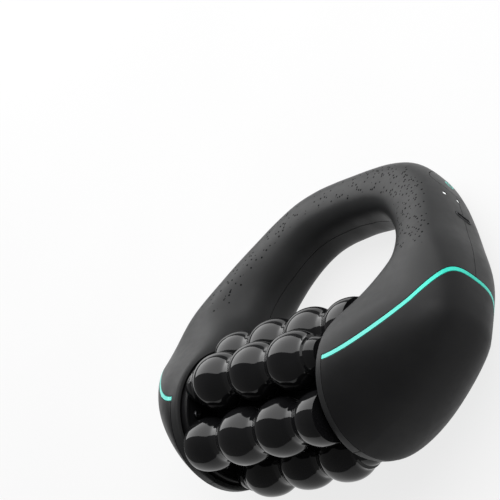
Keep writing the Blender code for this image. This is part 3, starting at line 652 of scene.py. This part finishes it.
PLATED = metal("plated_can", (0.50, 0.50, 0.52), (0.66, 0.66, 0.67), 0.3, (1.0, 0.06, 0.06))
SLEEVE = moulded("cell_sleeve", (0.03, 0.08, 0.28), (0.05, 0.12, 0.36), 0.3, edge=0.0)
BOARD = circuit_board()

CARRIED_FINISHES = {
    "light_board": BOARD, "control_board": BOARD, "button_switch": INNER,
    "end_plate": CARRIER, "core_tube": CARRIER, "drive_coupler": INNER,
    "drive_motor": PLATED, "motor_gearbox": PLATED, "output_shaft": STEEL,
    "battery_cell": SLEEVE, "battery_saddle": INNER, "bearing": STEEL, "spindle": STEEL,
    "charging_socket": DARK_STEEL, "charging_tongue": INNER, "status_light": WHITE,
}


def finish_carried_nodes():
    for name, node in frame["nodes"].items():
        found = [finish for part, finish in CARRIED_FINISHES.items() if part in name]
        if found:
            node.data.materials.clear()
            node.data.materials.append(found[0])


# Shoulder frame, square to the shoulder, z outward

def outer_point(angle):
    inner, thick, _ = arch_station(angle / (math.pi / 2.0))
    radius = inner + thick
    return Vector((radius * math.cos(angle), 0.0, FAN_HEIGHT + radius * math.sin(angle)))


def shoulder_frame():
    """Placed by the solids: the button slides along the shoulder's axis."""
    outward = -Vector(JOINTS["power_press"]["axis"])
    outward = UPRIGHT.to_3x3().transposed() @ outward
    along = outward.cross(Vector((0.0, -1.0, 0.0))).normalized()
    along = along if along.z < 0.0 else -along
    origin = outer_point(SHOULDER_ANGLE)
    return frame_matrix(along, outward.cross(along), outward, origin)


SHOULDER = shoulder_frame()


# Housing

def strip_height(y):
    """Height of the strip's middle line: level over the top, then falling straight."""
    fall = math.log1p(math.exp((abs(y) - STRIP_SHOULDER) / STRIP_ROUNDING))
    return STRIP_TOP - STRIP_FALL_SHARE * STRIP_ROUNDING * fall


def strip_end():
    """How far from the seam the strip's line meets the rim's land."""
    low, high = 0.0, RIM_RADIUS
    for _ in range(HALVINGS):
        middle = (low + high) / 2.0
        if middle < leg_half_depth(strip_height(middle), 0.0):
            low = middle
        else:
            high = middle
    return low


def strip_point(y, start):
    height = strip_height(y)
    _, middle, outer, half_depth, _, power = leg_measures(height, 0.0)
    left = max(1.0 - (abs(y) / half_depth) ** power, 0.0)
    return Vector((max(middle + (outer - middle) * left ** (1.0 / power), start), y, height))


def strip_rays(start, offset):
    """Rays from the middle of a cheek's plane to the strip's line, moved off it by offset.

    A ray that ends on the plane stays in it, so the cut is closed there.
    """
    heart = Vector((start, 0.0, 0.0))
    turns = [math.pi * (step / STRIP_STEPS - 1.0 / 2.0) for step in range(STRIP_STEPS + 1)]
    points = [strip_point(strip_end() * math.sin(turn), start) - heart for turn in turns]
    rays = []
    for here, point in enumerate(points):
        along = points[min(here + 1, STRIP_STEPS)] - points[max(here - 1, 0)]
        ray = point + point.cross(along).normalized() * offset
        if point.x == 0.0:
            ray.x = 0.0
        rays.append(ray)
    return rays


def cheek_zone_mesh(name, start, offset):
    """The side of a cheek below the strip's line, as a cone of rays outward from start."""
    far = CHEEK_REACH + OVERRUN
    rim = [ray * STRIP_OUTSIDE_SHARE for ray in strip_rays(start, offset)]
    rim += [Vector((0.0, side * far / 2.0, -far)) for side in (1.0, -1.0)]
    heart = Vector((start, 0.0, 0.0))

    def build(cage):
        top, foot = cage.verts.new(heart), cage.verts.new(heart + Vector((far, 0.0, -far)))
        ring = [cage.verts.new(heart + ray) for ray in rim]
        for here in range(len(ring)):
            nxt = (here + 1) % len(ring)
            cage.faces.new((top, ring[here], ring[nxt]))
            cage.faces.new((foot, ring[nxt], ring[here]))
    return mesh_from(name, build)


def strip_band_mesh(name, start, width):
    """A band along the strip's line, through the wall, as wide as asked."""
    heart = Vector((start, 0.0, 0.0))
    edges = [strip_rays(start, side * width / 2.0) for side in (1.0, -1.0)]

    def build(cage):
        rows = []
        for above, below in zip(*edges):
            corners = (above * STRIP_INSIDE_SHARE, above * STRIP_OUTSIDE_SHARE,
                       below * STRIP_OUTSIDE_SHARE, below * STRIP_INSIDE_SHARE)
            rows.append([cage.verts.new(heart + corner) for corner in corners])
        for low, high in zip(rows, rows[1:]):
            for here in range(len(low)):
                nxt = (here + 1) % len(low)
                cage.faces.new((low[here], low[nxt], high[nxt], high[here]))
        for end in (rows[0], rows[-1]):
            cage.faces.new(end)
    return mesh_from(name, build)


def port_outline(width, height):
    radius = height / 2.0
    straight = width / 2.0 - radius
    points = []
    for end in (1.0, -1.0):
        for step in range(PORT_STEPS + 1):
            angle = math.pi * step / PORT_STEPS
            points.append((PORT_OFFSET + end * radius * math.cos(angle),
                           end * (straight + radius * math.sin(angle))))
    return points


def opening_cutters():
    turn = Matrix.Rotation(math.pi / 2.0, 4, "Y")
    cutters = [scratch("recess", cylinder_mesh("recess", RECESS_RADIUS, -COVER_START - GAP,
                                               COVER_START + GAP, ROUND, turn))]
    zone = cheek_zone_mesh("cover_zone", COVER_START, STRIP_WIDTH / 2.0 + GAP)
    cutters.append(scratch("right_zone", zone))
    cutters.append(scratch("left_zone", mirrored("left_zone", zone)))
    deep = -BOARD_DEPTH
    button = SHOULDER @ Matrix.Translation((-BUTTON_OFFSET, 0.0, 0.0))
    cutters.append(scratch("button_hole", cylinder_mesh(
        "button_hole", BUTTON_RADIUS + GAP, deep, OVERRUN, ROUND, button)))
    for place in (-1.0, 0.0, 1.0):
        where = SHOULDER @ Matrix.Translation((0.0, place * STATUS_SPACING, 0.0))
        cutters.append(scratch("status_hole", cylinder_mesh(
            "status_hole", STATUS_RADIUS + GAP / 2.0, deep, OVERRUN, SMALL_SIDES, where)))
    slot = port_outline(SOCKET_WIDTH + 2.0 * GAP, SOCKET_HEIGHT + 2.0 * GAP)
    cutters.append(scratch("port_hole", prism_mesh(
        "port_hole", slot, deep, OVERRUN, SHOULDER)))
    return cutters


def speckle_density(mesh):
    """How many dots each point has: most on the front face round the arch's right corner."""
    values = []
    for vertex in mesh.vertices:
        x, y, z = vertex.co
        angle = math.degrees(math.atan2(z - FAN_HEIGHT, x)) % 360.0
        fold = math.radians(angle if angle < 90.0 else 180.0 - angle)
        inner, thick, _ = arch_station(fold / (math.pi / 2.0))
        share = (math.hypot(x, z - FAN_HEIGHT) - inner) / thick
        front = limit((-y / LIMB_HALF_DEPTH - SPECKLE_FRONT_START) * SPECKLE_FRONT_SLOPE)
        band = limit(SPECKLE_BAND - abs(share - SPECKLE_MIDDLE) * SPECKLE_BAND_SLOPE)
        ends = limit((SPECKLE_END - angle) / SPECKLE_END_FADE)
        corner = math.exp(-((angle - SPECKLE_CORNER) / SPECKLE_CORNER_SPREAD) ** 2)
        values.append(front * band * ends * (SPECKLE_EVERYWHERE + SPECKLE_AT_CORNER * corner))
    layer = mesh.attributes.new("speckle", "FLOAT", "POINT")
    layer.data.foreach_set("value", values)


def make_housing():
    outer = scratch("outer_form", ring_mesh("outer_form", 0.0, SIDES, LEG_LEVELS, ARCH_STEPS))
    hollow = scratch("hollow_form", ring_mesh("hollow_form", WALL, HOLLOW_SIDES, HOLLOW_LEVELS,
                                              HOLLOW_STEPS))
    walls = cut("walls", outer.data.copy(), [hollow])
    cutters = opening_cutters()
    reach, tall = CHEEK_REACH + OVERRUN, FAN_HEIGHT + OPENING_HALF_WIDTH + LIMB_THICKNESS
    halves = {}
    for name, side in (("front_half", 1.0), ("back_half", -1.0)):
        near, far = -side * GAP / 2.0, side * (RIM_RADIUS + OVERRUN)
        low = (-reach, min(near, far), -RIM_RADIUS - OVERRUN)
        high = (reach, max(near, far), tall)
        halves[name] = scratch(name, box_mesh(name, low, high))
    front = cut("front_housing", walls.copy(), [halves["front_half"], *cutters])
    back = cut("back_housing", walls.copy(), [halves["back_half"], *cutters])
    for mesh, side in ((front, "front"), (back, "back")):
        speckle_density(mesh)
        piece(side + "_housing", mesh, "housing", SHELL, [side + "_shell"])
    make_covers(walls)
    button = cut("button_cap", cylinder_mesh(
        "button_cap", BUTTON_RADIUS, -BUTTON_SKIRT, OVERRUN, ROUND,
        SHOULDER @ Matrix.Translation((-BUTTON_OFFSET, 0.0, 0.0))), [outer], "INTERSECT")
    piece("button_cap", button, "button", BUTTON, ["power_button"])
    make_power_sign(outer)
    for tool in (outer, hollow, *cutters, *halves.values()):
        bpy.data.objects.remove(tool, do_unlink=True)


def make_covers(walls):
    start = COVER_START + GAP
    zones = {"cover": cheek_zone_mesh("cover_block", start, -STRIP_WIDTH / 2.0 - GAP),
             "strip": strip_band_mesh("strip_block", start, STRIP_WIDTH)}
    looks = {"cover": ("cheek_cover", COVER), "strip": ("light_strip", TEAL)}
    for word, zone in zones.items():
        block = scratch(word + "_block", zone)
        right = cut(word, walls.copy(), [block], "INTERSECT")
        bpy.data.objects.remove(block, do_unlink=True)
        node, finish = looks[word]
        left = mirrored("left_" + word, right)
        piece("right_%s_fine" % word, right, "housing", finish, ["right_" + node])
        piece("left_%s_fine" % word, left, "housing", finish, ["left_" + node])


def make_power_sign(outer):
    """A ring with a gap and a short bar, laid on the button's curved face."""
    cage = bmesh.new()
    cage.from_mesh(outer.data)
    tree = BVHTree.FromBMesh(cage)
    cage.free()
    inward = -(SHOULDER.to_3x3() @ Vector((0.0, 0.0, 1.0)))

    def on_face(x, y, raised):
        start = SHOULDER @ Vector((x - BUTTON_OFFSET, y, OVERRUN))
        hit = tree.ray_cast(start, inward)[0]
        return hit - inward * raised

    def ribbon(cage, centre_line):
        rows = []
        for point, across in centre_line:
            row = []
            for side, raised in ((-1.0, SIGN_RAISE), (1.0, SIGN_RAISE), (1.0, -GAP), (-1.0, -GAP)):
                at = point + across * side * SIGN_LINE / 2.0
                row.append(cage.verts.new(on_face(at.x, at.y, raised)))
            rows.append(row)
        for low, high in zip(rows, rows[1:]):
            for here in range(len(low)):
                nxt = (here + 1) % len(low)
                cage.faces.new((low[here], low[nxt], high[nxt], high[here]))
        cage.faces.new(rows[0])
        cage.faces.new(rows[-1])

    def build(cage):
        arc = []
        for step in range(SIGN_STEPS + 1):
            angle = between(SIGN_GAP, 2.0 * math.pi - SIGN_GAP, step / SIGN_STEPS)
            out = Vector((-math.cos(angle), math.sin(angle)))
            arc.append((out * SIGN_RADIUS, out))
        ribbon(cage, arc)
        side = Vector((0.0, 1.0))
        bar = [(Vector((-share * SIGN_RADIUS, 0.0)), side) for share in SIGN_BAR_SHARES]
        ribbon(cage, bar)
    piece("power_sign", mesh_from("power_sign", build), "button", TEAL)


# Drum

def row_centre(row):
    angle = math.pi + row * 2.0 * math.pi / ROW_COUNT
    return ROW_RADIUS * math.cos(angle), ROW_RADIUS * math.sin(angle)


def bead_radius(from_centre, radius):
    """Radius of one bead's full outline at a distance from its centre."""
    share = min(abs(from_centre) / BEAD_HALF_WIDTH, 1.0)
    return radius * (1.0 - share ** BEAD_FULL_SHARE) ** (1.0 / BEAD_FULL_SHARE)


def roller_radius(x, bead_count):
    """Radius of a roller at x, with the necks running into the beads in a fillet."""
    first = (bead_count - 1) * BEAD_PITCH / 2.0
    odd = bead_count % 2
    collar = first + BEAD_PITCH / 2.0
    neck = NECK_RADIUS
    if odd and abs(x) > collar:
        share = (abs(x) - collar) / (ROLLER_HALF_LENGTH - collar)
        neck = COLLAR_RADIUS - COLLAR_TAPER * share * share
    total = neck ** NECK_FILLET_SHARE
    for bead in range(bead_count):
        at_end = not odd and bead in (0, bead_count - 1)
        radius = BEAD_RADIUS - END_BEAD_STEP if at_end else BEAD_RADIUS
        total += bead_radius(x - first + bead * BEAD_PITCH, radius) ** NECK_FILLET_SHARE
    return total ** (1.0 / NECK_FILLET_SHARE)


def roller_profile(bead_count):
    places = [between(ROLLER_HALF_LENGTH, -ROLLER_HALF_LENGTH, step / BEAD_STEPS)
              for step in range(BEAD_STEPS + 1)]
    outline = [(roller_radius(x, bead_count), x) for x in places]
    bore = SPINDLE_RADIUS + GAP
    return outline + [(bore, -ROLLER_HALF_LENGTH), (bore, ROLLER_HALF_LENGTH)]


def make_rollers():
    for row in range(ROW_COUNT):
        name = "roller_%d" % (row + 1)
        profile = roller_profile(ROW_BEADS[row % len(ROW_BEADS)])
        mesh = turned_mesh(name + "_fine", profile, BEAD_SIDES, row_centre(row))
        piece(name + "_fine", mesh, "bead_" + name, BEAD, [name])


def make_carriers():
    start = ROLLER_HALF_LENGTH + CARRIER_RELIEF
    end = start + CARRIER_THICKNESS
    seat = end - BEARING_SEAT
    edge = CARRIER_EDGE
    lip = CARRIER_RADIUS - CARRIER_LIP
    profile = [(BEARING_RADIUS + GAP, end)]
    turns = [math.pi / 2.0 * step / EDGE_STEPS for step in range(EDGE_STEPS + 1)]
    for turn in turns:
        profile.append((CARRIER_RADIUS - edge + edge * math.sin(turn),
                        end - edge + edge * math.cos(turn)))
    for turn in turns:
        profile.append((CARRIER_RADIUS - edge + edge * math.cos(turn),
                        start + edge - edge * math.sin(turn)))
    profile += [(lip, start), (lip - GAP, start + GAP), (CORE_RADIUS + GAP, start + GAP),
                (CORE_RADIUS + GAP, seat), (BEARING_RADIUS + GAP, seat)]
    mesh = turned_mesh("right_carrier_fine", profile, ROUND)
    holes = []
    for row in range(ROW_COUNT):
        where = Matrix.Translation((0.0, *row_centre(row))) @ Matrix.Rotation(math.pi / 2.0, 4, "Y")
        holes.append(scratch("spindle_hole", cylinder_mesh(
            "spindle_hole", SPINDLE_RADIUS + GAP, start - OVERRUN, end + OVERRUN,
            SMALL_SIDES, where)))
    right = cut("right_carrier_fine", mesh, holes)
    for hole in holes:
        bpy.data.objects.remove(hole, do_unlink=True)
    left = mirrored("left_carrier_fine", right)
    piece("right_carrier_fine", right, "drum", CARRIER, ["right_carrier"])
    piece("left_carrier_fine", left, "drum", CARRIER, ["left_carrier"])


def make_screws():
    """Socket screws on the carriers' inner faces, beside the rollers with collars."""
    face = ROLLER_HALF_LENGTH + CARRIER_RELIEF + GAP
    root, top = face + GAP, face - SCREW_HEIGHT
    floor = face - SCREW_SOCKET_SHARE * SCREW_HEIGHT
    profile = [(SCREW_RADIUS, root)]
    profile += [(wide * SCREW_RADIUS, face - high * SCREW_HEIGHT)
                for wide, high in SCREW_HEAD_SHARES]
    profile += [(SCREW_SOCKET, top), (SCREW_SOCKET, floor), (MERGE, floor), (MERGE, root)]
    cage = bmesh.new()
    for row in range(0, ROW_COUNT, 2):
        for side in (1.0, -1.0):
            angle = math.pi + row * 2.0 * math.pi / ROW_COUNT + side * SCREW_TURN
            centre = (SCREW_CIRCLE * math.cos(angle), SCREW_CIRCLE * math.sin(angle))
            cage.from_mesh(turned_mesh("screw", profile, SMALL_SIDES, centre))
    right = bpy.data.meshes.new("right_screws")
    cage.to_mesh(right)
    cage.free()
    left = mirrored("left_screws", right)
    piece("right_carrier_screws", right, "drum", DARK_STEEL)
    piece("left_carrier_screws", left, "drum", DARK_STEEL)


# Floor, light and camera

# The photograph's camera, in the upright frame
CAMERA_RIGHT = Vector((0.6166, 0.7309, 0.2924))
CAMERA_UP = Vector((0.2202, -0.5168, 0.8273))
CAMERA_BACK = Vector((0.7558, -0.4457, -0.4796))
CAMERA_PLACE = Vector((608.45, -407.94, -339.45)) * MM
CAMERA_LENS = 136.28
SENSOR_WIDTH = 36.0
CAMERA_CLIP = (0.01, 50.0)
WORLD_LIGHT = 0.2
FLOOR_HALF_SIZE = 6.0
FLOOR_SEEN_SHARE = 0.8


def make_camera():
    data = bpy.data.cameras.new("camera")
    data.lens = CAMERA_LENS
    data.sensor_width = SENSOR_WIDTH
    data.clip_start, data.clip_end = CAMERA_CLIP
    camera = bpy.data.objects.new("camera", data)
    bpy.context.scene.collection.objects.link(camera)
    camera.matrix_world = UPRIGHT @ frame_matrix(
        CAMERA_RIGHT, CAMERA_UP, CAMERA_BACK, CAMERA_PLACE)
    bpy.context.scene.camera = camera


# Softboxes, in the camera's right, up and back from the aim: a corner, two edges and radiance
LAMP_AIM = Vector((0.0, 0.0, 0.03))
SOFTBOXES = {
    "long_softbox": ((-0.10, 0.55, 1.44), (-1.79, -0.38, -2.93), (0.65, 1.23, -0.57), 3.0),
    "front_softbox": ((-0.15, 0.38, 1.13), (0.45, -0.02, -0.02), (-0.02, 0.62, -0.52), 2.2),
}


def softbox(name, corner, width, height, radiance):
    turn = UPRIGHT.to_3x3() @ Matrix((CAMERA_RIGHT, CAMERA_UP, CAMERA_BACK)).transposed()
    corner, width, height = (turn @ Vector(values) for values in (corner, width, height))
    middle = corner + (width + height) / 2.0
    across = width.normalized()
    upward = (height - across * height.dot(across)).normalized()
    if across.cross(upward).dot(middle) < 0.0:
        across = -across
    data = bpy.data.lights.new(name, "AREA")
    data.shape = "RECTANGLE"
    data.size, data.size_y = width.length, height.length
    data.energy = radiance * math.pi * data.size * data.size_y
    lamp = bpy.data.objects.new(name, data)
    bpy.context.scene.collection.objects.link(lamp)
    lamp.matrix_world = frame_matrix(across, upward, across.cross(upward), LAMP_AIM + middle)


def make_lights():
    for name, (corner, width, height, radiance) in SOFTBOXES.items():
        softbox(name, corner, width, height, radiance)
    world = bpy.data.worlds.new("studio")
    world.use_nodes = True
    background = world.node_tree.nodes["Background"].inputs
    background["Color"].default_value = (1.0, 1.0, 1.0, 1.0)
    background["Strength"].default_value = WORLD_LIGHT
    bpy.context.scene.world = world


def floor_finish():
    made = Nodes("pale_floor")
    made.colour(made.mottle(made.place(), 6.0, (0.58, 0.58, 0.58), (0.62, 0.62, 0.62)))
    made.set(Roughness=0.9, Specular_IOR_Level=0.0)
    paths = made.node("ShaderNodeLightPath")
    seen = made.math("MAXIMUM", paths.outputs["Is Camera Ray"], paths.outputs["Is Glossy Ray"])
    seen = made.math("MAXIMUM", seen, paths.outputs["Is Transmission Ray"])
    glow = made.node("ShaderNodeEmission", Strength=1.0)
    blend = made.node("ShaderNodeMixShader")
    made.link(made.math("MULTIPLY", seen, FLOOR_SEEN_SHARE), blend.inputs["Fac"])
    made.link(made.shader.outputs["BSDF"], blend.inputs[1])
    made.link(glow.outputs["Emission"], blend.inputs[2])
    made.link(blend.outputs["Shader"], made.tree.nodes["Material Output"].inputs["Surface"])
    return made.material


def make_floor():
    floor = scratch("floor", mesh_from("floor", lambda cage: bmesh.ops.create_grid(
        cage, x_segments=1, y_segments=1, size=FLOOR_HALF_SIZE)))
    floor.data.materials.append(floor_finish())


finish_carried_nodes()
make_housing()
make_rollers()
make_carriers()
make_screws()
make_floor()
make_lights()
make_camera()
bpy.context.scene.view_settings.view_transform = "Standard"
